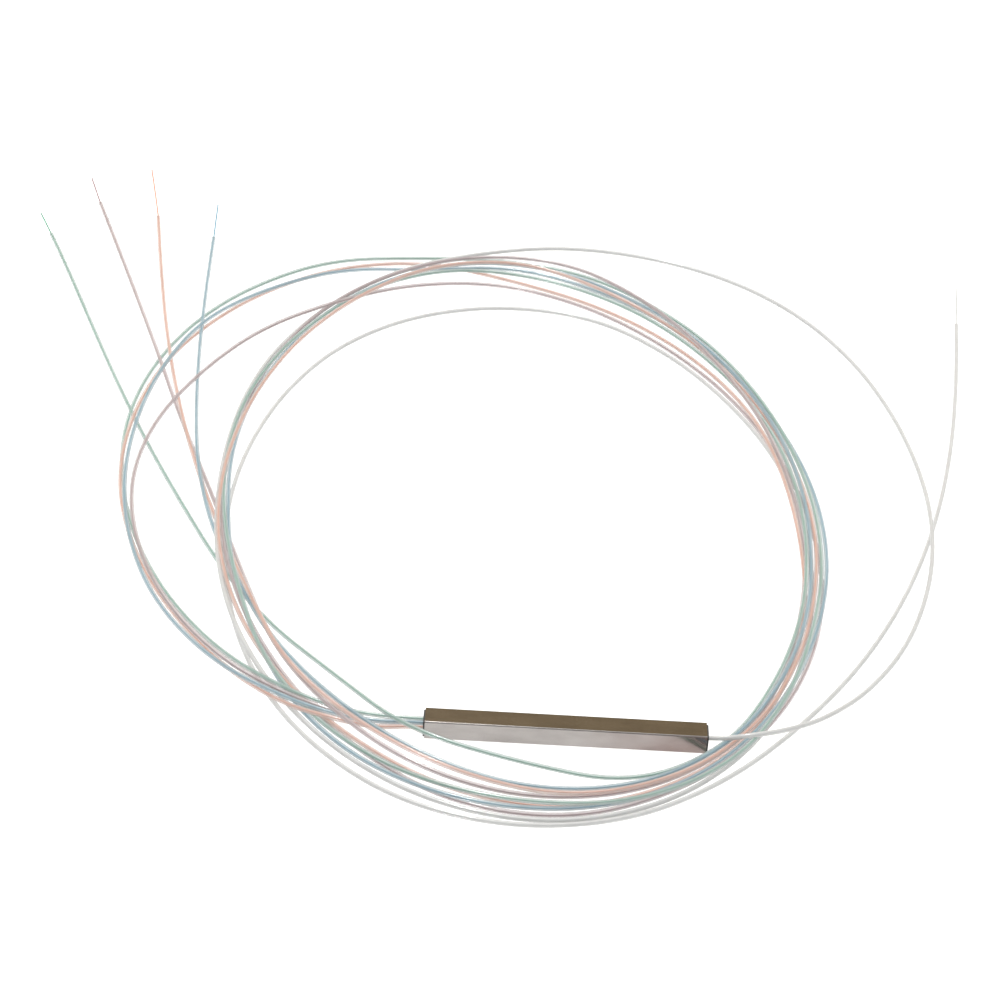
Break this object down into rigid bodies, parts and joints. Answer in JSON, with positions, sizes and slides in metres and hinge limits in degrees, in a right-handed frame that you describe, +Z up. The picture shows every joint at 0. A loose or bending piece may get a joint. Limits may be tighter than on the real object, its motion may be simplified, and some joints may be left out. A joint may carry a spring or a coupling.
{
  "type": "plc fibre splitter",
  "caption": "Slim square steel splitter body with a fibre lead at one end and fan-out fibre leads at the other, wound in loose turns with bare fibre ends.",
  "frame": {"origin": "middle of the steel tube, on the face it rests on", "axes": "+X along the steel tube towards the input end, +Y across it towards the wound leads, +Z up"},
  "size_m": [0.2137, 0.2206, 0.0051],
  "materials": {
    "steel": "drawn, fine grained, soft sheen",
    "plug": "matt",
    "chip_glass": "polished",
    "array_glass": "polished",
    "loose_tube": "milky translucent, soft gloss",
    "fibre_natural": "clear coated",
    "fibre_blue": "coloured coating",
    "fibre_orange": "coloured coating",
    "fibre_green": "coloured coating",
    "fibre_brown": "coloured coating"
  },
  "bodies": {
    "root": {"steel_tube": "steel", "input_end_plug": "plug", "output_end_plug": "plug", "splitter_chip": "chip_glass", "chip_lid": "chip_glass", "input_array_block": "array_glass", "input_array_lid": "array_glass", "output_array_block": "array_glass", "output_array_lid": "array_glass", "input_loose_tube": "loose_tube", "output_loose_tube_blue": "loose_tube", "output_loose_tube_orange": "loose_tube", "output_loose_tube_green": "loose_tube", "output_loose_tube_brown": "loose_tube", "input_fibre": "fibre_natural", "output_fibre_blue": "fibre_blue", "output_fibre_orange": "fibre_orange", "output_fibre_green": "fibre_green", "output_fibre_brown": "fibre_brown"}
  },
  "joints": []
}
